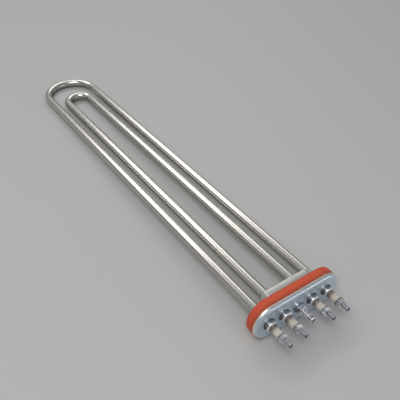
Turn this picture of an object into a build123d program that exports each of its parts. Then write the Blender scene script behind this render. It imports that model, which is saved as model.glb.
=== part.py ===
"""Tubular heating element with two nested U loops on an expanding clamp flange.

Millimetres. +X points out of the tank along the legs, Y runs along the flange, +Z is up.
The origin is the centre of the gasket's seat on the tank wall.
"""
from build123d import *
import os

# Sheathed legs
sheath_diameter = 8.5
sheath_wall = 0.7
inner_loop_width = 27.0    # between the leg centres of the inner loop
outer_loop_width = 56.0    # between the leg centres of the outer loop
inner_loop_reach = 386.7   # from the seat to the far side of the inner bend
outer_loop_reach = 424.2   # from the seat to the far side of the outer bend
sheath_stand_out = 4.0     # leg end beyond the outer plate's face
end_bead_height = 0.4      # rolled bead round the leg end
end_bead_length = 1.4

# Inside a leg
coil_diameter = 4.2
coil_wire = 0.6            # the coil's bore is its diameter less two wires
pin_diameter = 3.3
cold_length = 55.0         # unheated length behind the seat
pin_grip = 12.0            # length of pin that the coil's end is wound on
seal_length = 5.0

# Gasket
gasket_margin = 8.75       # beyond the outer legs
gasket_height = 32.0
gasket_band = 7.6          # thickness of the band between the plates
gasket_edge_radius = 1.0
rim_seat_depth = 0.4       # how deep the inner plate's rim sits in the gasket

# Outer clamp plate, a dished pressing that opens towards the gasket
outer_plate_margin = 8.75  # beyond the outer legs
outer_plate_height = 31.0
outer_plate_depth = 3.2
outer_plate_sheet = 1.5
outer_plate_edge_radius = 2.8
leg_hole_clearance = 0.65  # radial, round each leg in the outer plate, so that the bead passes

# Inner clamp plate, dished the other way, between the outer legs
inner_plate_leg_gap = 1.25  # between the plate's ends and the outer legs
inner_plate_height = 28.0
inner_plate_corner = 4.0
inner_plate_depth = 7.1
inner_plate_sheet = 1.2
inner_plate_edge_radius = 2.0
braze_leg = 0.8            # fillet of braze round each inner leg

# Clamp stud, washer and nut
clamp_stud_diameter = 5.0
clamp_stud_root = 4.2      # at the bottom of its thread
clamp_stud_stand_out = 15.8  # beyond the outer plate's face
clamp_head_diameter = 10.0
clamp_head_thickness = 1.2
clamp_hole_clearance = 0.25
clamp_washer_diameter = 10.0
clamp_washer_thickness = 1.0
clamp_nut_across_flats = 8.0
clamp_nut_height = 4.7

# Terminals
bush_fit = 0.45            # radial, between a bush and the leg's bore
bush_in_sheath = 4.0
bush_stand_out = 8.8       # beyond the leg end
bush_edge_chamfer = 0.4
terminal_thread = 4.0
terminal_root = 3.3        # at the bottom of its thread
terminal_stand_out = 23.4  # stud tip beyond the outer plate's face
terminal_tip_radius = 1.4
washer_diameter = 8.0
washer_thickness = 0.8
nut_across_flats = 7.0
nut_height = 3.2
nut_corner_chamfer = 0.5

# Fits
close_fit = 0.05           # radial, between pieces packed, brazed or moulded together
thread_fit = 0.05          # radial, between a nut's bore and the root of the thread in it
washer_fit = 0.15          # radial, between a stud and the washer on it
core_fit = 0.2             # between a plate's hollow and the gasket's core in it

# Worked out from the above
inner_leg = inner_loop_width / 2
outer_leg = outer_loop_width / 2
inner_bend = -(inner_loop_reach - inner_leg - sheath_diameter / 2)
outer_bend = -(outer_loop_reach - outer_leg - sheath_diameter / 2)
legs_width = outer_loop_width + sheath_diameter
sheath_bore = sheath_diameter - 2 * sheath_wall
bush_diameter = sheath_bore - 2 * bush_fit
face = gasket_band + outer_plate_depth
leg_end = face + sheath_stand_out
bush_start = leg_end - bush_in_sheath
bush_end = leg_end + bush_stand_out
seal_start = bush_start - seal_length
terminal_tip = face + terminal_stand_out
washer_end = bush_end + washer_thickness
nut_end = washer_end + nut_height
clamp_washer_end = face + clamp_washer_thickness
clamp_nut_end = clamp_washer_end + clamp_nut_height
clamp_tip = face + clamp_stud_stand_out
inner_plate_floor = -(inner_plate_depth - inner_plate_sheet)
leg_places = {
    "outer_left": -outer_leg,
    "inner_left": -inner_leg,
    "inner_right": inner_leg,
    "outer_right": outer_leg,
}


def across(x, y=0.0, out=1):
    """Plane square to the legs at x, whose own +X is +Y and whose normal points out (1) or back (-1)."""
    return Plane(origin=(x, y, 0), x_dir=(0, 1, 0), z_dir=(out, 0, 0))


def rod(diameter, start, end, y=0.0):
    """Round bar along X from start to end."""
    return extrude(across(start, y) * Circle(diameter / 2), amount=end - start)


def ring(diameter, bore, start, end, y=0.0):
    """Round bar with a hole through it."""
    return extrude(across(start, y) * (Circle(diameter / 2) - Circle(bore / 2)), amount=end - start)


def bent_bar(diameter, bore, half_width, bend_x, start):
    """U of round section: two legs from start to the bend's centre line and a half turn."""
    section = Circle(diameter / 2)
    if bore > 0:
        section = section - Circle(bore / 2)
    legs = [
        extrude(across(bend_x, y) * section, amount=start - bend_x)
        for y in (-half_width, half_width)
    ]
    turn = revolve(
        across(bend_x, half_width) * section,
        axis=Axis((bend_x, 0, 0), (0, 0, 1)),
        revolution_arc=180,
    )
    return legs[0] + turn + legs[1]


def sheath(half_width, bend_x):
    """Stainless tube of one loop, with a rolled bead at each leg end."""
    tube = bent_bar(sheath_diameter, sheath_bore, half_width, bend_x, leg_end)
    bead_start = leg_end - end_bead_length
    for y in (-half_width, half_width):
        bead = ring(sheath_diameter + 2 * end_bead_height, sheath_bore, bead_start, leg_end, y)
        rims = bead.edges().filter_by(GeomType.CIRCLE).group_by(SortBy.RADIUS)[-1]
        tube += chamfer(rims, end_bead_height)
    return tube


def fill(half_width, bend_x):
    """Packed magnesia between the sheath and what runs inside it."""
    jacket = bent_bar(sheath_bore - 2 * close_fit, 0, half_width, bend_x, seal_start)
    jacket -= bent_bar(coil_diameter + 2 * close_fit, 0, half_width, bend_x, -cold_length)
    for y in (-half_width, half_width):
        jacket -= rod(pin_diameter + 2 * close_fit, -cold_length, seal_start, y)
    return jacket


def coil(half_width, bend_x):
    """Envelope of the resistance coil and the magnesia in its turns, bored for the pins."""
    bore = coil_diameter - 2 * coil_wire
    envelope = bent_bar(coil_diameter, 0, half_width, bend_x, -cold_length)
    for y in (-half_width, half_width):
        envelope -= rod(bore, -cold_length - pin_grip, -cold_length, y)
    return envelope


def threaded_bar(diameter, root, start, nut_start, nut_stop, end, y=0.0):
    """Threaded bar as a plain cylinder, taken down to the thread's root inside its nut."""
    bar = rod(diameter, start, nut_start, y) + rod(root, nut_start, nut_stop, y)
    return bar + rod(diameter, nut_stop, end, y)


def terminal_pin(y):
    """Cold pin: its inner end in the coil, a plain shank, and the thread with a domed tip."""
    grip_diameter = coil_diameter - 2 * coil_wire - 2 * close_fit
    pin = rod(grip_diameter, -cold_length - pin_grip, -cold_length, y)
    pin += rod(pin_diameter, -cold_length, bush_end, y)
    stud = threaded_bar(terminal_thread, terminal_root, bush_end, washer_end, nut_end, terminal_tip, y)
    tip = stud.edges().group_by(Axis.X)[-1]
    return pin + fillet(tip, terminal_tip_radius)


def seal(y):
    """Resin plug that closes the leg behind the bush."""
    outside = sheath_bore - 2 * close_fit
    return ring(outside, pin_diameter + 2 * close_fit, seal_start, bush_start, y)


def bush(y):
    """Ceramic bush that keeps the pin clear of the sheath."""
    body = ring(bush_diameter, pin_diameter + 2 * close_fit, bush_start, bush_end, y)
    rim = body.edges().filter_by(GeomType.CIRCLE).group_by(Axis.X)[-1].sort_by(SortBy.RADIUS)[-1]
    return chamfer(rim, bush_edge_chamfer)


def washer(diameter, thickness, stud_diameter, start, y=0.0):
    """Flat washer on a stud."""
    return ring(diameter, stud_diameter + 2 * washer_fit, start, start + thickness, y)


def hex_nut(across_flats, height, root, start, y=0.0):
    """Hexagon nut with its corners turned off at both ends, bored to clear the thread's root."""
    corner = across_flats / 3**0.5
    prism = extrude(across(start, y) * RegularPolygon(corner, 6), amount=height)
    blank = rod(2 * corner, start, start + height, y)
    blank = chamfer(blank.edges().filter_by(GeomType.CIRCLE), length=nut_corner_chamfer * 0.6,
                    length2=nut_corner_chamfer)
    return (prism & blank) - rod(root + 2 * thread_fit, start, start + height, y)


def outer_outline():
    """Outline of the outer plate."""
    return SlotOverall(legs_width + 2 * outer_plate_margin, outer_plate_height)


def inner_outline():
    """Outline of the inner plate."""
    width = outer_loop_width - sheath_diameter - 2 * inner_plate_leg_gap
    return RectangleRounded(width, inner_plate_height, inner_plate_corner)


def dish(outline, depth, sheet, edge_radius):
    """Pressed plate that opens at its own XY plane and closes at depth."""
    outside = extrude(outline, amount=depth)
    outside = fillet(outside.faces().sort_by(Axis.Z)[-1].edges(), edge_radius)
    return outside - hollow(outline, depth, sheet, edge_radius)


def hollow(outline, depth, sheet, edge_radius, clearance=0.0):
    """Space inside a dish, less a clearance all round. The gasket's core in it has a plain chamfer."""
    inset = sheet + clearance
    space = extrude(offset(outline, amount=-inset), amount=depth - inset)
    rim = space.faces().sort_by(Axis.Z)[-1].edges()
    if clearance > 0:
        return chamfer(rim, edge_radius - sheet)
    return fillet(rim, edge_radius - sheet)


def outer_plate():
    """Outer clamp plate with clearance holes for the legs and the stud."""
    plate = across(gasket_band) * dish(
        outer_outline(), outer_plate_depth, outer_plate_sheet, outer_plate_edge_radius
    )
    hole = sheath_diameter + 2 * leg_hole_clearance
    for y in leg_places.values():
        plate -= rod(hole, 0, leg_end, y)
    return plate - rod(clamp_stud_diameter + 2 * clamp_hole_clearance, 0, leg_end)


def braze(y):
    """Fillet of braze on the inner plate, round the leg at y."""
    tip = sheath_diameter / 2 + 2 * close_fit
    fillet_of_braze = Cone(tip + braze_leg, tip, braze_leg, align=(Align.CENTER, Align.CENTER, Align.MIN))
    return across(-inner_plate_depth, y, out=-1) * fillet_of_braze


def inner_plate():
    """Inner clamp plate, brazed round the two inner legs, its rim let into the gasket."""
    plate = across(rim_seat_depth, out=-1) * dish(
        inner_outline(), rim_seat_depth + inner_plate_depth, inner_plate_sheet, inner_plate_edge_radius
    )
    for y in (-inner_leg, inner_leg):
        plate += braze(y)
        plate -= rod(sheath_diameter + 2 * close_fit, -2 * inner_plate_depth, 0, y)
    return plate


def gasket():
    """Moulded gasket: a band between the plates and a core that fills each plate's hollow."""
    outline = SlotOverall(legs_width + 2 * gasket_margin, gasket_height)
    body = extrude(across(0) * outline, amount=gasket_band)
    body = fillet(body.faces().sort_by(Axis.X)[0].edges(), gasket_edge_radius)
    body -= extrude(across(0) * offset(inner_outline(), amount=core_fit), amount=rim_seat_depth)
    body += across(rim_seat_depth, out=-1) * hollow(
        inner_outline(), rim_seat_depth + inner_plate_depth, inner_plate_sheet,
        inner_plate_edge_radius, core_fit
    )
    body += across(gasket_band) * hollow(
        outer_outline(), outer_plate_depth, outer_plate_sheet, outer_plate_edge_radius, core_fit
    )
    for y in leg_places.values():
        body -= rod(sheath_diameter + 2 * close_fit, -inner_plate_depth, face, y)
    body -= rod(clamp_stud_diameter + 2 * close_fit, -inner_plate_depth, face)
    pocket_end = inner_plate_floor + clamp_head_thickness + core_fit
    return body - rod(clamp_head_diameter + 2 * core_fit, -inner_plate_depth, pocket_end)


def clamp_stud():
    """Stud with a round head welded to the inside of the inner plate, and a chamfered end."""
    head = rod(clamp_head_diameter, inner_plate_floor, inner_plate_floor + clamp_head_thickness)
    shank = threaded_bar(
        clamp_stud_diameter, clamp_stud_root, inner_plate_floor, clamp_washer_end, clamp_nut_end, clamp_tip
    )
    tip = shank.edges().group_by(Axis.X)[-1]
    return head + chamfer(tip, 0.12 * clamp_stud_diameter)


def build():
    """Every sub-part by name."""
    nodes = {
        "outer_sheath": sheath(outer_leg, outer_bend),
        "inner_sheath": sheath(inner_leg, inner_bend),
        "outer_magnesia_fill": fill(outer_leg, outer_bend),
        "inner_magnesia_fill": fill(inner_leg, inner_bend),
        "outer_resistance_coil": coil(outer_leg, outer_bend),
        "inner_resistance_coil": coil(inner_leg, inner_bend),
        "inner_clamp_plate": inner_plate(),
        "gasket": gasket(),
        "outer_clamp_plate": outer_plate(),
        "clamp_stud": clamp_stud(),
        "clamp_washer": washer(clamp_washer_diameter, clamp_washer_thickness, clamp_stud_diameter, face),
        "clamp_nut": hex_nut(clamp_nut_across_flats, clamp_nut_height, clamp_stud_root, clamp_washer_end),
    }
    for place, y in leg_places.items():
        nodes[place + "_terminal_pin"] = terminal_pin(y)
        nodes[place + "_resin_seal"] = seal(y)
        nodes[place + "_ceramic_bush"] = bush(y)
        nodes[place + "_washer"] = washer(washer_diameter, washer_thickness, terminal_thread, bush_end, y)
        nodes[place + "_nut"] = hex_nut(nut_across_flats, nut_height, terminal_root, washer_end, y)
    return nodes


os.makedirs("parts", exist_ok=True)
for name, shape in build().items():
    export_step(shape, "parts/" + name + ".step")
print("length", round(terminal_tip + outer_loop_reach, 1), "mm")
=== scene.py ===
# %% [markdown]
# Tubular water heating element.
# Two nested loops of sheathed tube hang from an obround clamp flange. The flange squeezes a
# silicone gasket in the cut-out of a tank, and four studs on ceramic bushes take the current.
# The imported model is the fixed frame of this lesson. Each cell makes one piece or one finish
# from the sizes that the frame has, in metres, along the same axes: +X out of the tank, Y along
# the flange and +Z up.

# %% Load the frame
import math

import bmesh
import bpy
from mathutils import Matrix, Vector


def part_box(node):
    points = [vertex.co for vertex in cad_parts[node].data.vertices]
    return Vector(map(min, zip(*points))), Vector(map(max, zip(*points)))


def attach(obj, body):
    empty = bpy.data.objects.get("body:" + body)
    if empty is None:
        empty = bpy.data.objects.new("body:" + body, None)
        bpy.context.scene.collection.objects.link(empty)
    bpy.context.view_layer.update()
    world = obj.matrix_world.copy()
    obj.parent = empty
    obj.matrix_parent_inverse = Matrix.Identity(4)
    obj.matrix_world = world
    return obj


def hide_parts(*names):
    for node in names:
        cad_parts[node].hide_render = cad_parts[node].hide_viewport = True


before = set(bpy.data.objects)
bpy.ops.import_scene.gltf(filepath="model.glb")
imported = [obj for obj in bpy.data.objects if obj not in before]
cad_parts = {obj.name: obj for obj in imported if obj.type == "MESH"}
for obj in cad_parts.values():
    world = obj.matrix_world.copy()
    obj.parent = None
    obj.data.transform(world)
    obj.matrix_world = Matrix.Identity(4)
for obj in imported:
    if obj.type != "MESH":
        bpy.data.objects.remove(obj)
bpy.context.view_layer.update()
MM = 0.001

# %% [markdown]
# Camera. It stands where the photograph's camera stood, which follows from the straight legs,
# the two bends and the stud tips. The rows of the matrix are the image's right, the image's
# down and the line of sight. A camera in Blender looks along its own -Z with +Y up, so the
# last two rows change sign.

# %% Camera
right = Vector((0.56639431, 0.82410669, -0.00675612))
down = Vector((0.51627161, -0.36119069, -0.77653391))
sight = Vector((-0.64238704, 0.4363364, -0.63003924))
eye = Vector((184.357, -204.770, 311.814)) * MM
focal_pixels, frame_pixels, sensor_mm = 539.404, 400, 36.0

camera = bpy.data.objects.new("camera", bpy.data.cameras.new("camera"))
bpy.context.scene.collection.objects.link(camera)
turned_to = Matrix((right, -down, -sight)).transposed().to_4x4()
camera.matrix_world = Matrix.Translation(eye) @ turned_to
camera.data.sensor_fit = "HORIZONTAL"
camera.data.sensor_width = sensor_mm
camera.data.lens = focal_pixels / frame_pixels * sensor_mm
camera.data.clip_start = 0.01
bpy.context.scene.camera = camera
bpy.context.scene.view_settings.view_transform = "Standard"
print("lens", round(camera.data.lens, 2), "mm")

# %% [markdown]
# Node arithmetic. A material or a Geometry Nodes tree is easier to read as a formula than as a
# list of links. Wire wraps one output, so that 1 - mask adds the Math node by itself, and
# Graph.node makes any other node: first its settings, then the values or links of its sockets.

# %% Wire and Graph
class Wire:
    """One output of a node, on which arithmetic can be written."""

    def __init__(self, graph, socket):
        self.graph, self.socket = graph, socket

    def math(self, operation, *others):
        return self.graph.node("ShaderNodeMath", {"operation": operation}, [self, *others])

    def clipped(self):
        return self.graph.node("ShaderNodeClamp", {}, {"Value": self})

    def __add__(self, other):
        return self.math("ADD", other)

    def __sub__(self, other):
        return self.math("SUBTRACT", other)

    def __mul__(self, other):
        return self.math("MULTIPLY", other)

    def __truediv__(self, other):
        return self.math("DIVIDE", other)

    def __rsub__(self, other):
        return self.graph.node("ShaderNodeMath", {"operation": "SUBTRACT"}, [other, self])

    def __getitem__(self, name):
        outputs = self.socket.node.outputs
        return Wire(self.graph, next(s for s in outputs if s.name == name and s.enabled))


class Graph:
    """A node tree that is written as expressions."""

    def __init__(self, tree):
        self.tree = tree

    def node(self, kind, settings=(), sockets=()):
        made = self.tree.nodes.new(kind)
        for key, value in dict(settings).items():
            setattr(made, key, value)
        pairs = sockets.items() if isinstance(sockets, dict) else enumerate(sockets)
        for key, value in pairs:
            if isinstance(key, str):
                target = next(s for s in made.inputs if s.name == key and s.enabled)
            else:
                target = made.inputs[key]
            if isinstance(value, Wire):
                self.tree.links.new(value.socket, target)
            elif target.is_multi_input:
                for wire in value:
                    self.tree.links.new(wire.socket, target)
            elif isinstance(value, (tuple, list)) and target.type == "RGBA" and len(value) == 3:
                target.default_value = (*value, 1)
            else:
                target.default_value = value
        outs = [s for s in made.outputs if s.enabled]
        return Wire(self, outs[0]) if outs else made


def smallest(wires):
    """The least of several outputs."""
    least = wires[0]
    for other in wires[1:]:
        least = least.math("MINIMUM", other)
    return least


print("nodes can be written as formulas")

# %% [markdown]
# Table and light. Laid down, the heater rests on the gasket's lower edge and on its far bend, so
# the table is not level in its frame: it rises by about 1.6 degrees towards the bend. A plain
# pale sheet does for it. A straight tube can mirror only what lies on one cone of directions, so
# the largest lamp is a window beyond the bends, 45 degrees up, where that cone passes: it puts
# one broad streak along each tube. A lamp overhead finds the rolled ends and the nuts, a dim one
# finds the walls of the flange, and a low one at the right draws the line along its edge.

# %% Table
gasket_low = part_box("gasket")[0]
loop_low, loop_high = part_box("outer_sheath")
bead_height = 0.4  # of the rolled edge at each leg end, which is the tube's thickest place
gasket_edge = 1.0  # radius of the gasket's edge on the tank's side
table_gap = 0.05
tube = (loop_high.z - loop_low.z) / 2 - bead_height * MM
near_foot = Vector((gasket_edge * MM, 0, gasket_low.z))
far_foot = Vector((loop_low.x + tube, 0, -tube))
rise = math.atan2(far_foot.z - near_foot.z, near_foot.x - far_foot.x)
up = Vector((math.sin(rise), 0, math.cos(rise)))


def plain_material(name, colour, roughness):
    material = bpy.data.materials.new(name)
    material.use_nodes = True
    shader = material.node_tree.nodes["Principled BSDF"]
    shader.inputs["Base Color"].default_value = (*colour, 1)
    shader.inputs["Roughness"].default_value = roughness
    return material


half_table = 3.0
table_mesh = bpy.data.meshes.new("table")
corners = [(-1, -1), (1, -1), (1, 1), (-1, 1)]
along = Vector((math.cos(rise), 0, -math.sin(rise)))
centre = near_foot - up * table_gap * MM
table_mesh.from_pydata(
    [centre + along * a * half_table + Vector((0, b * half_table, 0)) for a, b in corners],
    [],
    [(0, 1, 2, 3)],
)
table = bpy.data.objects.new("table", table_mesh)
table.data.materials.append(plain_material("pale_table", (0.55, 0.55, 0.54), 0.6))
bpy.context.scene.collection.objects.link(table)
print("the table rises by", round(math.degrees(rise), 2), "degrees")

# %% Lamps
middle = Vector((-150, 0, 0)) * MM


def soft_lamp(name, toward, distance, size, watts, colour=(1, 1, 1)):
    """A rectangular lamp in a direction from the middle of the object, turned to face it."""
    lamp = bpy.data.lights.new(name, "AREA")
    lamp.shape, lamp.size, lamp.size_y = "RECTANGLE", *size
    lamp.energy, lamp.color = watts, colour
    holder = bpy.data.objects.new(name, lamp)
    bpy.context.scene.collection.objects.link(holder)
    toward = Vector(toward).normalized()
    turn = (-toward).to_track_quat("-Z", "Y").to_matrix().to_4x4()
    holder.matrix_world = Matrix.Translation(middle + toward * distance) @ turn


soft_lamp("window_beyond", (-0.70, -0.06, 0.71), 3.0, (2.5, 0.8), 17, (1.0, 0.985, 0.95))
soft_lamp("window_right", (0.85, 0.5, 0.09), 1.6, (1.2, 0.22), 2.4, (0.94, 0.97, 1.0))
soft_lamp("overhead", (0.33, -0.40, 0.85), 1.6, (0.9, 0.9), 10.0)
soft_lamp("wall_light", (-0.60, 0.48, 0.64), 2.2, (1.0, 1.1), 4.6, (1.0, 0.97, 0.93))
world = bpy.data.worlds.new("room")
world.use_nodes = True
room = world.node_tree.nodes["Background"]
room.inputs["Color"].default_value = (0.86, 0.88, 0.92, 1)
room.inputs["Strength"].default_value = 0.30
bpy.context.scene.world = world
print("four soft lamps and a dim room")

# %% [markdown]
# Sizes. They are the ones that the frame was drawn with, in millimetres, so that a piece made
# here lies where the frame's own solid does.

# %% Sizes
tube_radius, tube_wall = 4.25, 0.7
bore_radius = tube_radius - tube_wall
bead_length = 1.4
half_width = {"inner": 13.5, "outer": 28.0}
reach = {"inner": 386.7, "outer": 424.2}
bend_x = {loop: -(reach[loop] - half_width[loop] - tube_radius) for loop in reach}
legs = {
    "outer_left": -half_width["outer"],
    "inner_left": -half_width["inner"],
    "inner_right": half_width["inner"],
    "outer_right": half_width["outer"],
}
band, plate_depth, sheet = 7.6, 3.2, 1.5
face = band + plate_depth
leg_stand_out, bush_in_leg, bush_stand_out, seal_length = 4.0, 4.0, 8.8, 5.0
cold_length, pin_grip = 55.0, 12.0
washer_height, nut_height, pin_stand_out = 0.8, 3.2, 23.4
clamp_washer_height, clamp_nut_height, clamp_stand_out = 1.0, 4.7, 15.8
leg_end = face + leg_stand_out
bush_start, bush_end = leg_end - bush_in_leg, leg_end + bush_stand_out
washer_end = bush_end + washer_height
nut_end = washer_end + nut_height
pin_tip = face + pin_stand_out
clamp_washer_end = face + clamp_washer_height
clamp_nut_end = clamp_washer_end + clamp_nut_height
clamp_tip = face + clamp_stand_out
inner_legs = [y for place, y in legs.items() if place.startswith("inner")]
outer_legs = [y for place, y in legs.items() if place.startswith("outer")]

# %% [markdown]
# Finishes. Each one is a small formula of where a point lies on the object, so it needs no
# pictures and looks the same from every side. The class below keeps a material with its shader.
# Object coordinates are turned into millimetres once, and from_legs says how far a point lies
# from the nearest of some axes, which tells a thread's root from its crest.

# %% Finish
class Finish(Graph):
    """A material whose patterns are formulas of the place in millimetres."""

    def __init__(self, name, metallic=0.0, specular=0.5):
        self.material = bpy.data.materials.new(name)
        self.material.use_nodes = True
        super().__init__(self.material.node_tree)
        self.shader = self.tree.nodes["Principled BSDF"]
        self.shader.inputs["Metallic"].default_value = metallic
        self.shader.inputs["Specular IOR Level"].default_value = specular
        self.place = self.stretch(self.node("ShaderNodeTexCoord")["Object"], (1000, 1000, 1000))
        parts = self.node("ShaderNodeSeparateXYZ", {}, {"Vector": self.place})
        self.x, self.y, self.z = parts["X"], parts["Y"], parts["Z"]

    def stretch(self, vector, factors):
        return self.node("ShaderNodeVectorMath", {"operation": "MULTIPLY"}, [vector, factors])

    def noise(self, vector, scale, detail=2.0):
        sockets = {"Vector": vector, "Scale": scale, "Detail": detail}
        return self.node("ShaderNodeTexNoise", {}, sockets)

    def blend(self, factor, one, two):
        sockets = {"Factor": factor, "A": one, "B": two}
        return self.node("ShaderNodeMix", {"data_type": "RGBA"}, sockets)

    def step(self, value, start, stop):
        """0 up to start, 1 from stop, and a straight ramp between."""
        return ((value - start) / (stop - start)).clipped()

    def from_legs(self, *sides):
        """How far a point lies from the nearest of these axes, each at this y on both sides."""
        away = self.y.math("ABSOLUTE")
        near = smallest([(away - side).math("ABSOLUTE") for side in sides])
        return (near * near + self.z * self.z).math("SQRT")

    def feed(self, label, wire):
        self.tree.links.new(wire.socket, self.shader.inputs[label])

    def relief(self, height, depth_mm, strength=0.6):
        sockets = {"Strength": strength, "Distance": depth_mm * MM, "Height": height}
        self.feed("Normal", self.node("ShaderNodeBump", {}, sockets))


print("a finish is a formula")

# %% [markdown]
# Drawn stainless. Tube is pulled through a die, which leaves very fine lines along it. A pattern
# on x, y and z would cut across the bends, so this one reads the drawn attribute that the tube's
# tree stores, the place on the tube's round and along its length, and the lines follow the bend.
# The sides and the underside are painted darker, a painted shade, and the top keeps the lighter
# colour.
# The short stub between the flange and the rolled end is painted dark, a painted shade, and the
# rolled edge itself is painted near white, a painted highlight.

# %% Drawn stainless
stainless = Finish("drawn_stainless", metallic=1.0)
drawn = stainless.node("ShaderNodeAttribute", {"attribute_name": "drawn"})["Vector"]
lines = stainless.noise(stainless.stretch(drawn, (1800, 1800, 30)), 1.0, 2.0)
clouds = stainless.noise(stainless.place, 0.035, 2.0)
streaks = stainless.noise(stainless.stretch(drawn, (500, 500, 9)), 1.0, 1.0)
tint = (lines * 0.3 + clouds * 0.4 + streaks * 0.3).clipped()
skin_colour = stainless.blend(tint, (0.69, 0.665, 0.62), (0.79, 0.77, 0.73))
rolled = stainless.step(stainless.x, leg_end - 1.85, leg_end - 1.6)
# painted shade: the sides and the underside of the tube are darkened in the base colour
sides = 1 - stainless.step(stainless.z, -0.6, 3.0)
skin_colour = stainless.blend(sides * 0.7, skin_colour, (0.27, 0.255, 0.23))
# painted shade: the stub between the flange face and the rolled end is darkened
painted_stub_shade = stainless.step(stainless.x, face - 0.2, face + 0.3) * (1 - rolled)
skin_colour = stainless.blend(painted_stub_shade * 0.75, skin_colour, (0.22, 0.22, 0.24))
# painted highlight: the rolled edge is brightened to near white
skin_colour = stainless.blend(rolled * 0.85, skin_colour, (0.95, 0.95, 0.96))
stainless.feed("Base Color", skin_colour)
stainless.feed("Roughness", lines * 0.06 + streaks * 0.04 + 0.19 + rolled * 0.14)
stainless.relief(streaks, 0.003, 0.08)
print("drawn stainless", len(stainless.tree.nodes), "nodes")

# %% [markdown]
# Satin stainless. The inner plate is pressed from sheet with a rolled grain along the flange.
# Brazing the two inner legs into it leaves a straw-coloured ring of heat round each.

# %% Satin stainless
satin = Finish("satin_stainless", metallic=1.0)
grain = satin.noise(satin.stretch(satin.place, (7.0, 0.16, 7.0)), 1.0, 3.0)
clouds = satin.noise(satin.place, 0.12, 2.0)
heat = 1 - satin.step(satin.from_legs(half_width["inner"]), 4.9, 10.0)
heat = heat * (1 - satin.step(satin.x, -6.6, -4.5))
sheet_colour = satin.blend(grain * 0.5 + clouds * 0.5, (0.60, 0.60, 0.565), (0.75, 0.75, 0.715))
sheet_colour = satin.blend(heat * 0.6, sheet_colour, (0.56, 0.42, 0.24))
satin.feed("Base Color", sheet_colour)
satin.feed("Roughness", grain * 0.12 + 0.34)
satin.relief(grain, 0.012, 0.4)
print("satin stainless", len(satin.tree.nodes), "nodes")

# %% [markdown]
# Zinc. The outer plate has a bright bluish zinc plating, which is never even: it has clouds some
# millimetres across, it shows the sheet's grain through, and it is rubbed bright round the holes
# where the tubes were pushed in. Its rim next to the gasket is painted a warm straw tone, a painted
# reflection of the orange gasket.

# %% Zinc
zinc = Finish("bluish_zinc", metallic=1.0)
grain = zinc.noise(zinc.stretch(zinc.place, (5.0, 0.22, 5.0)), 1.0, 3.0)
clouds = zinc.noise(zinc.place, 0.16, 3.0)
hole_distance = zinc.from_legs(half_width["inner"], half_width["outer"])
rubbed = (1 - zinc.step(hole_distance, 5.3, 5.9)) * zinc.step(zinc.x, face - 0.6, face - 0.3)
plating = zinc.blend(grain * 0.4 + clouds * 0.6, (0.60, 0.70, 0.80), (0.78, 0.87, 0.96))
# painted reflection: the wall next to the gasket is tinted warm like the gasket
painted_gasket_reflection = 1 - zinc.step(zinc.x, band + 0.9, band + 2.6)
plating = zinc.blend(painted_gasket_reflection * 0.75, plating, (0.96, 0.86, 0.70))
plating = zinc.blend(rubbed * 0.7, plating, (0.88, 0.90, 0.92))
zinc.feed("Base Color", plating)
zinc.feed("Roughness", clouds * 0.16 + grain * 0.10 + 0.28 + rubbed * 0.06)
zinc.relief(grain * 0.6 + clouds * 0.4, 0.03, 0.45)
print("zinc", len(zinc.tree.nodes), "nodes")

# %% [markdown]
# Bright plated steel. Nuts, washers and studs are plated much brighter than the flange, with a
# trace of lilac. The roots of the fine threads are darker and the crests are rubbed, the seams
# where two pieces meet are painted dark, a painted shade, and a nut's flats are duller than its
# corners.

# %% Bright plated steel
plated = Finish("bright_plated", metallic=1.0)
axis_radius = plated.from_legs(0.0, half_width["inner"], half_width["outer"])
crest = plated.step(axis_radius, 1.66, 1.94)
fine = plated.noise(plated.place, 1.3, 3.0)
patches = plated.noise(plated.place, 0.35, 2.0)
metal = plated.blend(fine * 0.4 + patches * 0.6, (0.74, 0.73, 0.78), (0.93, 0.92, 0.96))
metal = plated.blend(crest, (0.20, 0.195, 0.22), metal)
meetings = [bush_end, washer_end, clamp_washer_end, face]
beside = smallest([(plated.x - meeting).math("ABSOLUTE") for meeting in meetings])
# painted shade: a thin dark band where two pieces meet
painted_seam_shade = 1 - plated.step(beside, 0.10, 0.28)
metal = plated.blend(painted_seam_shade * 0.8, metal, (0.10, 0.095, 0.10))
in_nut = plated.step(plated.x, washer_end, washer_end + 0.1)
in_nut = in_nut * (1 - plated.step(plated.x, nut_end - 0.1, nut_end))
dulled = in_nut * plated.step(axis_radius, 3.0, 3.3)
dulled = dulled * (1 - plated.step(axis_radius, 3.62, 3.95))
metal = plated.blend(dulled * 0.15, metal, (0.36, 0.355, 0.385))
plated.feed("Base Color", metal)
plated.feed("Roughness", 0.26 - crest * 0.16 + fine * 0.10 + painted_seam_shade * 0.2)
plated.relief(fine, 0.01, 0.25)
print("bright plated", len(plated.tree.nodes), "nodes")

# %% [markdown]
# Silicone. The gasket is moulded, so it is matt and a little uneven in colour. It is painted
# darker in the corners next to the two plates, a painted shade.

# %% Silicone
silicone = Finish("orange_silicone", specular=0.25)
cloudy = silicone.noise(silicone.place, 0.22, 3.0)
pores = silicone.noise(silicone.place, 4.0, 2.0)
# painted shade: the gasket is darkened next to both plates
painted_corner_shade = silicone.step(silicone.x, 4.4, band - 0.2) + (1 - silicone.step(silicone.x, 0.0, 1.6))
orange = silicone.blend(cloudy * 0.8 + pores * 0.2, (0.58, 0.082, 0.034), (0.72, 0.122, 0.060))
orange = silicone.blend(painted_corner_shade.clipped() * 0.55, orange, (0.27, 0.045, 0.024))
silicone.feed("Base Color", orange)
silicone.feed("Roughness", cloudy * 0.14 + 0.46)
silicone.relief(pores * 0.7 + cloudy * 0.3, 0.05, 0.5)
print("silicone", len(silicone.tree.nodes), "nodes")
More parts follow.
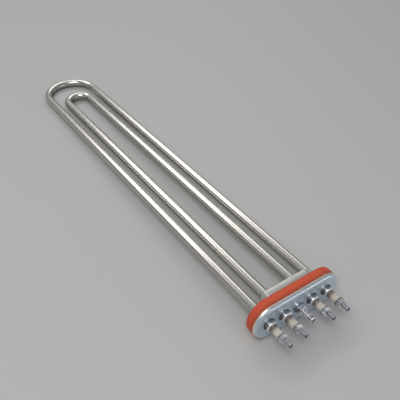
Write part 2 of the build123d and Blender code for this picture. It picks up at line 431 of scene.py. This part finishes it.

# %% [markdown]
# The materials in the tubes and at their ends. Steatite is a fired ceramic, brownish and faintly
# speckled, with the smooth skin of the kiln, and next to the tube it is painted dark brown, a
# painted shade. The magnesia is a packed white powder, and the coil is dull wire whose turns lie
# close together.

# %% Steatite, resin, magnesia and wire
steatite = Finish("steatite", specular=1.0)
steatite.shader.inputs["Coat Weight"].default_value = 0.6
mottle = steatite.noise(steatite.place, 0.5, 2.0)
speckle = steatite.step(steatite.noise(steatite.place, 3.2, 1.0), 0.60, 0.70)
clay = steatite.blend(mottle, (0.62, 0.54, 0.44), (0.84, 0.775, 0.67))
clay = steatite.blend(speckle * 0.45, clay, (0.26, 0.19, 0.14))
# painted shade: the end of the bush next to the tube is darkened to brown
painted_shade_near_tube = 1 - steatite.step(steatite.x + mottle * 1.4, leg_end + 2.6, leg_end + 5.2)
clay = steatite.blend(painted_shade_near_tube * 0.9, clay, (0.13, 0.08, 0.068))
steatite.feed("Base Color", clay)
steatite.feed("Roughness", mottle * 0.14 + 0.16)
steatite.relief(mottle * 0.5 + speckle * 0.5, 0.03, 0.3)

resin = Finish("brown_resin")
swirl = resin.noise(resin.place, 0.9, 3.0)
resin.feed("Base Color", resin.blend(swirl, (0.12, 0.055, 0.035), (0.22, 0.115, 0.075)))
resin.feed("Roughness", swirl * 0.25 + 0.35)

magnesia = Finish("packed_magnesia", specular=0.2)
powder = magnesia.noise(magnesia.place, 6.0, 3.0)
magnesia.feed("Base Color", magnesia.blend(powder, (0.76, 0.74, 0.69), (0.90, 0.88, 0.84)))
magnesia.feed("Roughness", powder * 0.1 + 0.82)
magnesia.relief(powder, 0.08, 0.6)

wire = Finish("resistance_wire", metallic=1.0)
turn_mm = 0.9
ridge = ((wire.x / turn_mm).math("FRACT") - 0.5).math("ABSOLUTE") * 2
wire.feed("Base Color", wire.blend(ridge, (0.52, 0.50, 0.47), (0.16, 0.15, 0.14)))
wire.feed("Roughness", ridge * 0.25 + 0.4)
wire.relief(1 - ridge, 0.25, 0.8)
print(sum(len(finish.tree.nodes) for finish in (steatite, resin, magnesia, wire)), "nodes")

# %% [markdown]
# Turned parts. Washers, bushes, shanks and the rolled end of a tube are bodies of revolution, so
# one outline in (x, radius) is spun about the leg's axis. Real edges are never sharp, and a small
# arc at each corner is what catches the light, so the outline's corners are rounded first.

# %% Turned parts
LONGEST_CUT = 0.45  # share of an edge that one corner's arc may take


def rounded(points, cut, steps=3):
    """A closed outline with each corner replaced by a small arc that starts cut away from it."""
    made = []
    cuts = cut if isinstance(cut, (list, tuple)) else [cut] * len(points)
    for k, (corner, size) in enumerate(zip(points, cuts)):
        corner = Vector(corner)
        if size <= 0:
            made.append(tuple(corner))
            continue
        before = Vector(points[k - 1]) - corner
        after = Vector(points[(k + 1) % len(points)]) - corner
        start = corner + before.normalized() * min(size, before.length * LONGEST_CUT)
        stop = corner + after.normalized() * min(size, after.length * LONGEST_CUT)
        for n in range(steps + 1):
            t = n / steps
            made.append(tuple(start * (1 - t) ** 2 + corner * 2 * t * (1 - t) + stop * t * t))
    return made


def mesh_object(name, work):
    """A bmesh in millimetres, welded, turned outwards and kept as an object in metres."""
    bmesh.ops.remove_doubles(work, verts=work.verts, dist=1e-4)
    bmesh.ops.recalc_face_normals(work, faces=work.faces)
    for part in work.faces:
        part.smooth = True
    bmesh.ops.scale(work, vec=(MM, MM, MM), verts=work.verts)
    mesh = bpy.data.meshes.new(name)
    work.to_mesh(mesh)
    work.free()
    made = bpy.data.objects.new(name, mesh)
    bpy.context.scene.collection.objects.link(made)
    return made


def strips(work, rings):
    """Faces between each ring of vertices and the next."""
    for one, two in zip(rings, rings[1:]):
        for k in range(len(one)):
            m = (k + 1) % len(one)
            corners = list(dict.fromkeys((one[k], one[m], two[m], two[k])))
            if len(corners) > 2:
                work.faces.new(corners)


def spin_rings(work, outline, y, around):
    """One ring of vertices for each (x, radius), round the axis at y.

    A ring on the axis is one vertex, listed as often as the others have vertices.
    """
    compass = [2 * math.pi * k / around for k in range(around)]
    rings = []
    for x, radius in outline:
        if radius < 1e-6:
            rings.append([work.verts.new((x, y, 0))] * around)
            continue
        spots = [(x, y + radius * math.cos(a), radius * math.sin(a)) for a in compass]
        rings.append([work.verts.new(spot) for spot in spots])
    return rings


def turned(name, outline, y=0.0, around=64):
    """Body of revolution from a closed outline of (x, radius)."""
    work = bmesh.new()
    rings = spin_rings(work, outline, y, around)
    strips(work, rings + [rings[0]] if outline[0][1] > 0 else rings)
    return mesh_object(name, work)


def even_shading(obj):
    """Large faces keep their own normal and the small arcs between them take the bend."""
    weighting = obj.modifiers.new("even_shading", "WEIGHTED_NORMAL")
    weighting.weight = 80
    return obj


def sleeve(name, start, stop, bore, radius, cut, y=0.0):
    """A bored disc or tube from start to stop, with its four edges rounded."""
    corners = [(start, bore), (stop, bore), (stop, radius), (start, radius)]
    return turned(name, rounded(corners, cut), y)


pin_bore, bush_cuts = 1.7, [0.1, 0.1, 0.45, 0.1]
washers, bushes, seals = {}, {}, {}
for p, y in legs.items():
    washers[p] = sleeve(p + "_flat_washer", bush_end, washer_end, 2.15, 4.0, 0.14, y)
    bushes[p] = sleeve(p + "_bush", bush_start, bush_end, pin_bore, 3.1, bush_cuts, y)
    seals[p] = sleeve(p + "_seal", bush_start - seal_length, bush_start, pin_bore, 3.5, 0.2, y)
clamp_ring = sleeve("clamp_flat_washer", face, clamp_washer_end, 2.65, 5.0, 0.16)
for piece in (*washers.values(), clamp_ring):
    even_shading(piece)
print(len(washers) + 1, "washers and", len(bushes), "bushes")

# %% [markdown]
# Nuts. A hexagon nut is a hexagon bar whose corners were turned off at 30 degrees, which leaves
# the curved edge that makes a nut look like one. Each column of vertices runs once round the
# nut's wall at one angle, and its chamfer is as deep as the corner there stands out.

# %% Nuts
def hex_nut(name, start, stop, across, bore, y=0.0, corner_radius=0.25):
    """A nut from start to stop. corner_radius is that of the six upright edges."""
    flat, slope = across / 2, math.tan(math.radians(30))
    face_edge = flat * 0.965  # where the chamfer starts
    sink, land, lip = 0.35, 0.1, 0.08  # countersink, flat ring at the chamfer, strip below it
    along_flat = (-1, -0.94, -0.6, -0.2, 0.2, 0.6, 0.94, 1)
    columns = []
    for side in range(6):
        middle_angle = math.radians(30 + 60 * side)
        normal = Vector((math.cos(middle_angle), math.sin(middle_angle)))
        run = Vector((-normal.y, normal.x))
        end = flat * slope - corner_radius * slope
        columns += [normal * flat + run * end * t for t in along_flat]
        centre = normal * (flat - corner_radius) + run * end
        for t in (0.25, 0.5, 0.75):
            swing = middle_angle + math.radians(60) * t
            columns.append(centre + Vector((math.cos(swing), math.sin(swing))) * corner_radius)
    work = bmesh.new()
    walls = []
    for spot in columns:
        out, radius = spot.normalized(), spot.length
        depth = max(0.0, radius - face_edge) * slope
        wall = [
            (start + sink, bore), (start, bore + sink), (start, face_edge - land),
            (start, face_edge), (start + depth, radius), (start + depth + lip, radius),
            (stop - depth - lip, radius), (stop - depth, radius), (stop, face_edge),
            (stop, face_edge - land), (stop, bore + sink), (stop - sink, bore),
        ]
        walls.append([work.verts.new((x, y + out.x * r, out.y * r)) for x, r in wall])
    rings = list(zip(*walls))
    strips(work, rings + [rings[0]])
    return even_shading(mesh_object(name, work))


nut_across, clamp_across = 7.0, 8.0
nuts = {}
for p, y in legs.items():
    nuts[p] = hex_nut(p + "_hex_nut", washer_end, nut_end, nut_across, 1.7, y)
clamp_hex = hex_nut("clamp_hex_nut", clamp_washer_end, clamp_nut_end, clamp_across, 2.15)
print(len(nuts) + 1, "nuts")

# %% [markdown]
# Trees. A Geometry Nodes tree is built once here and run with other sizes for each piece. Its
# inputs have names, and a modifier is given their values by each socket's identifier. The
# result is kept as a plain mesh, and the modifier goes.

# %% Running a tree
def new_tree(name, inputs):
    tree = bpy.data.node_groups.new(name, "GeometryNodeTree")
    for label, kind in inputs.items():
        tree.interface.new_socket(label, in_out="INPUT", socket_type="NodeSocket" + kind)
    tree.interface.new_socket("Geometry", in_out="OUTPUT", socket_type="NodeSocketGeometry")
    graph = Graph(tree)
    return graph, graph.node("NodeGroupInput")


def run_tree(graph, name, values):
    """The tree's result for these values, as an object with a plain mesh."""
    made = bpy.data.objects.new(name, bpy.data.meshes.new(name))
    bpy.context.scene.collection.objects.link(made)
    modifier = made.modifiers.new("tree", "NODES")
    modifier.node_group = graph.tree
    for item in graph.tree.interface.items_tree:
        if item.in_out == "INPUT" and item.name in values:
            modifier[item.identifier] = values[item.name]
    view = bpy.context.evaluated_depsgraph_get()
    mesh = bpy.data.meshes.new_from_object(
        made.evaluated_get(view), preserve_all_data_layers=True, depsgraph=view)
    made.modifiers.remove(modifier)
    made.data = mesh
    mesh.name = name
    return made


def store(graph, kind, geometry, name, value):
    """The geometry, with a value kept on its points under a name."""
    settings = {"data_type": kind, "domain": "POINT"}
    sockets = {"Geometry": geometry, "Name": name, "Value": value}
    return graph.node("GeometryNodeStoreNamedAttribute", settings, sockets)


def recall(graph, kind, name):
    return graph.node("GeometryNodeInputNamedAttribute", {"data_type": kind}, {"Name": name})


def point(graph, **sockets):
    """A vector from its X, Y and Z."""
    return graph.node("ShaderNodeCombineXYZ", {}, sockets)


def close_tree(graph, geometry, material):
    """Every tree ends the same way: real geometry, smooth, with its material."""
    real = graph.node("GeometryNodeRealizeInstances", {}, {"Geometry": geometry})
    smooth = graph.node("GeometryNodeSetShadeSmooth", {}, {"Geometry": real, "Shade Smooth": True})
    finished = graph.node("GeometryNodeSetMaterial", {}, {"Geometry": smooth, "Material": material})
    graph.node("NodeGroupOutput", {}, [finished])


print("trees can be run")

# %% [markdown]
# Sheathed loops. Each loop is one tube on a path that is easy to say as a rule: down one leg,
# half a turn, and back up the other. Index over steps gives three runs that each go from 0 to 1
# in turn, and they place the path's points. The tree also leaves each point's place on the
# tube's round and along its length in an attribute, so that the fine lines of the drawing die
# can follow the bend. The leg's rolled end is a turned part that is set on both ends.

# %% Sheathed loops
graph, size = new_tree("bent_tube", {
    "Half Width": "Float", "Bend": "Float", "Leg End": "Float", "Radius": "Float",
    "Leg Steps": "Int", "Bend Steps": "Int", "Sides": "Int",
    "Rolled End": "Object", "Material": "Material",
})
index = graph.node("GeometryNodeInputIndex")
first = (index / size["Leg Steps"]).clipped()
turn = ((index - size["Leg Steps"]) / size["Bend Steps"]).clipped()
last = ((index - size["Leg Steps"] - size["Bend Steps"]) / size["Leg Steps"]).clipped()
swing = turn * math.pi
tube_end = size["Leg End"] - bead_length * MM
path_x = tube_end + (size["Bend"] - tube_end) * (first - last)
path_x = path_x - size["Half Width"] * swing.math("SINE")
path_y = size["Half Width"] * swing.math("COSINE") * -1
count = size["Leg Steps"] * 2 + size["Bend Steps"] + 1
line = graph.node("GeometryNodeMeshLine", {}, {"Count": count})
path = graph.node("GeometryNodeMeshToCurve", {}, {"Mesh": line})
path = graph.node("GeometryNodeSetPosition", {}, {
    "Geometry": path, "Position": point(graph, X=path_x, Y=path_y),
})
path = graph.node("GeometryNodeSetCurveNormal", {"mode": "Z_UP"}, {"Curve": path})
path = store(graph, "FLOAT", path, "along", graph.node("GeometryNodeSplineParameter")["Length"])
circle = graph.node("GeometryNodeCurvePrimitiveCircle", {}, {
    "Resolution": size["Sides"], "Radius": size["Radius"],
})
circle = store(graph, "FLOAT_VECTOR", circle, "section", graph.node("GeometryNodeInputPosition"))
skin = graph.node("GeometryNodeCurveToMesh", {}, {"Curve": path, "Profile Curve": circle})
section = recall(graph, "FLOAT_VECTOR", "section")
section = graph.node("ShaderNodeSeparateXYZ", {}, {"Vector": section})
drawn_place = point(graph, X=section["X"], Y=section["Y"], Z=recall(graph, "FLOAT", "along"))
skin = store(graph, "FLOAT_VECTOR", skin, "drawn", drawn_place)
ends = graph.node("GeometryNodeMeshLine", {}, {
    "Count": 2,
    "Start Location": point(graph, X=size["Leg End"], Y=size["Half Width"] * -1),
    "Offset": point(graph, Y=size["Half Width"] * 2),
})
ring = graph.node("GeometryNodeObjectInfo", {}, {"Object": size["Rolled End"]})["Geometry"]
rings = graph.node("GeometryNodeInstanceOnPoints", {}, {"Points": ends, "Instance": ring})
joined = graph.node("GeometryNodeJoinGeometry", {}, {"Geometry": [skin, rings]})
close_tree(graph, joined, size["Material"])
bent_tube = graph

r, b = tube_radius, bore_radius
rolled_end = turned("rolled_end", [
    (-2.2, r - 0.06), (-1.75, r - 0.01), (-1.6, r + 0.12), (-1.45, r + 0.3),
    (-1.3, r + bead_height), (-1.1, r + bead_height - 0.03), (-0.8, r + 0.25),
    (-0.5, r + 0.06), (-0.25, r - 0.16),
    (-0.08, r - 0.36), (0, r - 0.52), (0, b + 0.1),
    (-0.04, b + 0.04), (-0.15, b), (-4.2, b), (-4.2, b + 0.1),
], around=48)
loops = {}
for loop in half_width:
    loops[loop] = run_tree(bent_tube, loop + "_tube", {
        "Half Width": half_width[loop] * MM, "Bend": bend_x[loop] * MM,
        "Leg End": leg_end * MM, "Radius": tube_radius * MM,
        "Leg Steps": 12, "Bend Steps": 64, "Sides": 48,
        "Rolled End": rolled_end, "Material": stainless.material,
    })
    print(loop, "tube", len(loops[loop].data.polygons), "faces")
bpy.data.objects.remove(rolled_end)

# %% [markdown]
# Threads. A thread is the surface of a bar whose radius rises and falls once per pitch, and the
# wave turns a whole pitch further along in each turn round the bar. So a flat grid is enough:
# one side runs along the bar, the other round it, and a formula gives each point its radius. A
# dome or a chamfer at the tip is the smaller of two radii.

# %% Threaded bars
root_share, flank_share = 0.12, 0.7  # of half a pitch: the flat root, and the slope above it
tip_run, tip_row = 1.02, 0.995  # the last rows stand at the end, and the very last on the axis
rows_per_turn, bar_sides = 14, 49
graph, size = new_tree("threaded_bar", {
    "Start": "Float", "End": "Float", "Radius": "Float", "Root": "Float", "Pitch": "Float",
    "Tip": "Float", "Side": "Float", "Rows": "Int", "Around": "Int",
    "Shank": "Object", "Material": "Material",
})
grid = graph.node("GeometryNodeMeshGrid", {}, {
    "Size X": 1.0, "Size Y": 1.0, "Vertices X": size["Rows"], "Vertices Y": size["Around"],
})
place = graph.node("ShaderNodeSeparateXYZ", {}, {"Vector": graph.node("GeometryNodeInputPosition")})
row = place["X"] + 0.5
turn_share = place["Y"] + 0.5
bar_x = size["Start"] + (size["End"] - size["Start"]) * (row * tip_run).clipped()
wave = (bar_x / size["Pitch"] - turn_share).math("FRACT") * 2 - 1
crest = ((wave.math("ABSOLUTE") - root_share) / flank_share).clipped()
thread_radius = size["Root"] + (size["Radius"] - size["Root"]) * crest
past = (bar_x - (size["End"] - size["Tip"])).math("MAXIMUM", 0.0)
sphere = (size["Tip"] * size["Tip"] - past * past).math("MAXIMUM", 0.0).math("SQRT")
dome = size["Radius"] - size["Tip"] + sphere
bar_radius = thread_radius.math("MINIMUM", dome) * (1 - row.math("GREATER_THAN", tip_row))
round_angle = turn_share * (2 * math.pi)
bar = graph.node("GeometryNodeSetPosition", {}, {
    "Geometry": grid,
    "Position": point(
        graph, X=bar_x, Y=size["Side"] + bar_radius * round_angle.math("COSINE"),
        Z=bar_radius * round_angle.math("SINE")),
})
bar = graph.node("GeometryNodeMergeByDistance", {}, {"Geometry": bar, "Distance": 2e-6})
shank = graph.node("GeometryNodeObjectInfo", {}, {"Object": size["Shank"]})["Geometry"]
joined = graph.node("GeometryNodeJoinGeometry", {}, {"Geometry": [bar, shank]})
close_tree(graph, joined, size["Material"])
threaded_bar = graph


def stud(name, shank, start, end, radius, root, pitch, tip, y=0.0):
    """The turned shank and, from start to end, the thread that shows."""
    made = run_tree(threaded_bar, name, {
        "Start": start * MM, "End": end * MM, "Radius": radius * MM, "Root": root * MM,
        "Pitch": pitch * MM, "Tip": tip * MM, "Side": y * MM,
        "Rows": int((end - start) / pitch * rows_per_turn), "Around": bar_sides,
        "Shank": shank, "Material": plated.material,
    })
    bpy.data.objects.remove(shank)
    return made


pin_start = -cold_length - pin_grip
shank_in_nut, thread_in_nut = 0.8, 0.9  # how far inside the nut's face each of them ends
pins = {}
for p, y in legs.items():
    shank = turned(p + "_shank", [
        (pin_start, 0), (pin_start, 1.45), (-cold_length, 1.45), (-cold_length, 1.65),
        (bush_end, 1.65), (bush_end, 1.98), (washer_end, 1.98), (washer_end, 1.6),
        (nut_end - shank_in_nut, 1.6), (nut_end - shank_in_nut, 0),
    ], y, 32)
    pins[p] = stud(
        p + "_threaded_pin", shank, nut_end - thread_in_nut, pin_tip, 2.0, 1.62, 0.7, 1.3, y)
shank = turned("clamp_shank", [
    (-5.9, 0), (-5.9, 4.8), (-5.7, 5), (-4.7, 5), (-4.7, 2.5), (clamp_washer_end, 2.5),
    (clamp_washer_end, 2.1), (clamp_nut_end - shank_in_nut, 2.1), (clamp_nut_end - shank_in_nut, 0),
], 0.0, 48)
clamp_bolt = stud(
    "clamp_threaded_stud", shank, clamp_nut_end - thread_in_nut, clamp_tip, 2.5, 2.05, 0.8, 0.9)
print(len(pins) + 1, "threaded bars,", len(clamp_bolt.data.polygons), "faces on the thickest")

# %% [markdown]
# Pressings and the moulding. The two clamp plates are dished from sheet, and the gasket has a
# core for each hollow. All three are stacks of outlines drawn in by different amounts, with round
# holes between their flat faces, so one helper makes them. A ring close inside each edge keeps
# the flat faces flat to the light.

# %% Outlines
POINTS = 96


def obround(half_length, radius):
    """Two half circles joined by straight sides, as a rule that also draws it in by an inset."""
    centre_y = half_length - radius

    def at(inset):
        spots = []
        for side, first_angle in ((centre_y, -90), (-centre_y, 90)):
            for k in range(POINTS // 2):
                a = math.radians(first_angle + 180 * k / (POINTS // 2 - 1))
                bow = radius - inset
                spots.append((side + bow * math.cos(a), bow * math.sin(a)))
        return spots

    return at


def rounded_bar(half_length, half_height, corner):
    """A rectangle with round corners, drawn in by an inset that its corners follow."""

    def at(inset):
        spots = []
        for k in range(POINTS):
            quarter, step = divmod(k, POINTS // 4)
            a = math.radians(-90 + 90 * quarter + 90 * step / (POINTS // 4 - 1))
            side = 1 if quarter in (0, 1) else -1
            top = 1 if quarter in (1, 2) else -1
            bow = max(corner - inset, 0.05)
            reach_y, reach_z = half_length - inset - bow, half_height - inset - bow
            spots.append((side * reach_y + bow * math.cos(a), top * reach_z + bow * math.sin(a)))
        return spots

    return at


gasket_outline = obround(41.0, 16.0)
outer_outline = obround(41.0, 15.5)
inner_outline = rounded_bar(22.5, 14.0, 4.0)
print("outlines have", POINTS, "points")

# %% Pressings
def pressing(name, skin, holes, ledge=None, ledge_holes=()):
    """A body between two flat faces.

    The skin is rows of (x, outline, inset), and the holes are pairs of y and [(x, radius), ...].
    A ledge is a third flat face, from that ring of the skin to the next, where ledge_holes open.
    """
    work = bmesh.new()
    rings = [[work.verts.new((x, y, z)) for y, z in outline(inset)] for x, outline, inset in skin]
    cut = len(rings) if ledge is None else ledge + 1
    strips(work, rings[:cut])
    strips(work, rings[cut:])
    front, back, shelf = [rings[0]], [rings[-1]], rings[cut - 1:cut + 1]
    openings = [(hole, back) for hole in holes] + [(hole, shelf) for hole in ledge_holes]
    for (y, wall), far in openings:
        hole = spin_rings(work, wall, y, 48)
        strips(work, hole)
        front.append(hole[0])
        far.append(hole[-1])
    bmesh.ops.remove_doubles(work, verts=work.verts, dist=1e-5)
    flats = [(front, 1), (back, -1)] + ([(shelf, -1)] if ledge is not None else [])
    for group, direction in flats:
        edges = set()
        for ring in group:
            alive = [v for v in ring if v.is_valid]
            for k, v in enumerate(alive):
                link = work.edges.get((v, alive[(k + 1) % len(alive)]))
                if link:
                    edges.add(link)
        bmesh.ops.triangle_fill(work, use_beauty=True, edges=list(edges), normal=(direction, 0, 0))
    return even_shading(mesh_object(name, work))


def bend(x, outline, inset, radius, forward, steps=6):
    """Quarter round of a pressing's edge, about a centre at x and inset."""
    ring = []
    for k in range(steps + 1):
        a = math.radians(90 * k / steps)
        ring.append((x + forward * radius * math.sin(a), outline, inset - radius * math.cos(a)))
    return ring


edge, flat_ring = 2.8, 0.4
inside = edge - sheet
skin = [(face, outer_outline, edge + flat_ring)]
skin += reversed(bend(face - edge, outer_outline, edge, edge, 1, 10))
skin += [(band + 0.15, outer_outline, 0.0), (band + 0.02, outer_outline, 0.1),
         (band, outer_outline, 0.3), (band, outer_outline, sheet - 0.2),
         (band + 0.1, outer_outline, sheet)]
skin += bend(face - edge, outer_outline, edge, inside, 1)
skin += [(face - sheet, outer_outline, edge + flat_ring)]
leg_clearance = 0.65
hole_radius = tube_radius + leg_clearance
leg_hole = [(face, hole_radius + 0.9), (face, hole_radius + 0.5),
            (face - 0.06, hole_radius + 0.24), (face - 0.24, hole_radius + 0.06),
            (face - 0.5, hole_radius), (face - sheet, hole_radius)]
stud_hole = [(face, 3.1), (face, 2.85), (face - 0.1, 2.75), (face - sheet, 2.75)]
holes = [(y, leg_hole) for y in legs.values()] + [(0.0, stud_hole)]
outer_plate = pressing("outer_pressing", skin, holes)

rim, depth, thin = 0.4, -7.1, 1.2
edge = 2.0
inside = edge - thin
skin = [(depth, inner_outline, edge + flat_ring)]
skin += reversed(bend(depth + edge, inner_outline, edge, edge, -1, 10))
skin += [(rim, inner_outline, 0.0), (rim, inner_outline, thin)]
skin += bend(depth + edge, inner_outline, edge, inside, -1)
skin += [(depth + thin, inner_outline, edge + flat_ring)]
braze = [(depth, tube_radius + 1.3), (depth, tube_radius + 0.95), (depth - 0.08, tube_radius + 0.7),
         (depth - 0.26, tube_radius + 0.4), (depth - 0.5, tube_radius + 0.2),
         (depth - 0.8, tube_radius + 0.05), (depth + thin, tube_radius + 0.02)]
inner_plate = pressing("inner_pressing", skin, [(y, braze) for y in inner_legs])
print("pressings", len(outer_plate.data.polygons), len(inner_plate.data.polygons), "faces")

# %% Gasket
core_out, core_in = face - sheet - 0.2, depth + thin
skin = [(core_out, outer_outline, 3.2), (core_out, outer_outline, 3.0),
        (band + 0.2, outer_outline, 1.75), (band, outer_outline, 1.9)]
skin += [(band, gasket_outline, 1.2), (band, gasket_outline, 0.25),
         (band - 0.07, gasket_outline, 0.07), (band - 0.25, gasket_outline, 0.0)]
skin += [(5.5, gasket_outline, -0.05), (4.2, gasket_outline, -0.06), (4.08, gasket_outline, -0.17),
         (3.92, gasket_outline, -0.17), (3.8, gasket_outline, -0.06), (2.4, gasket_outline, -0.05)]
skin += bend(gasket_edge, gasket_outline, gasket_edge, gasket_edge, -1, 5)
skin.append((0.0, gasket_outline, 1.2))
seat = len(skin) - 1
skin += [(0.0, inner_outline, -0.3), (0.1, inner_outline, -0.2),
         (rim, inner_outline, -0.2), (rim, inner_outline, 1.4), (core_in + 1.0, inner_outline, 1.4),
         (core_in + 0.2, inner_outline, 2.2), (core_in + 0.2, inner_outline, 2.6)]
leg_bore = [(core_out, 4.5), (core_out - 0.1, 4.3), (core_in + 0.3, 4.3), (core_in + 0.2, 4.5)]
stud_bore = [(core_out, 2.7), (core_out - 0.1, 2.55), (core_in + 1.4, 2.55), (core_in + 1.4, 5.2),
             (core_in + 0.2, 5.2)]
outer_bore = leg_bore[:2] + [(0.1, 4.3), (0.0, 4.4)]
through = [(y, leg_bore) for y in inner_legs] + [(0.0, stud_bore)]
gasket = pressing("silicone_gasket", skin, through, seat, [(y, outer_bore) for y in outer_legs])
print("gasket", len(gasket.data.polygons), "faces")

# %% [markdown]
# Dressing. Every piece gets its finish, rides on the object's one body, and stands for the node
# that it replaces. The fills and coils inside the tubes have the right shape already, so their
# own nodes stay and only change finish.

# %% Dressing
def dress(obj, finish, node):
    obj.data.materials.clear()
    obj.data.materials.append(finish.material)
    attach(obj, "root")
    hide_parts(node)


for loop, obj in loops.items():
    dress(obj, stainless, loop + "_sheath")
for p in legs:
    dress(washers[p], plated, p + "_washer")
    dress(bushes[p], steatite, p + "_ceramic_bush")
    dress(seals[p], resin, p + "_resin_seal")
    dress(nuts[p], plated, p + "_nut")
    dress(pins[p], plated, p + "_terminal_pin")
dress(clamp_ring, plated, "clamp_washer")
dress(clamp_hex, plated, "clamp_nut")
dress(clamp_bolt, plated, "clamp_stud")
dress(outer_plate, zinc, "outer_clamp_plate")
dress(inner_plate, satin, "inner_clamp_plate")
dress(gasket, silicone, "gasket")
for ending, finish in (("_magnesia_fill", magnesia), ("_resistance_coil", wire)):
    for loop in half_width:
        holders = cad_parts[loop + ending].material_slots
        for holder in holders:
            holder.material = finish.material
        print(loop + ending, [holder.material.name for holder in holders])
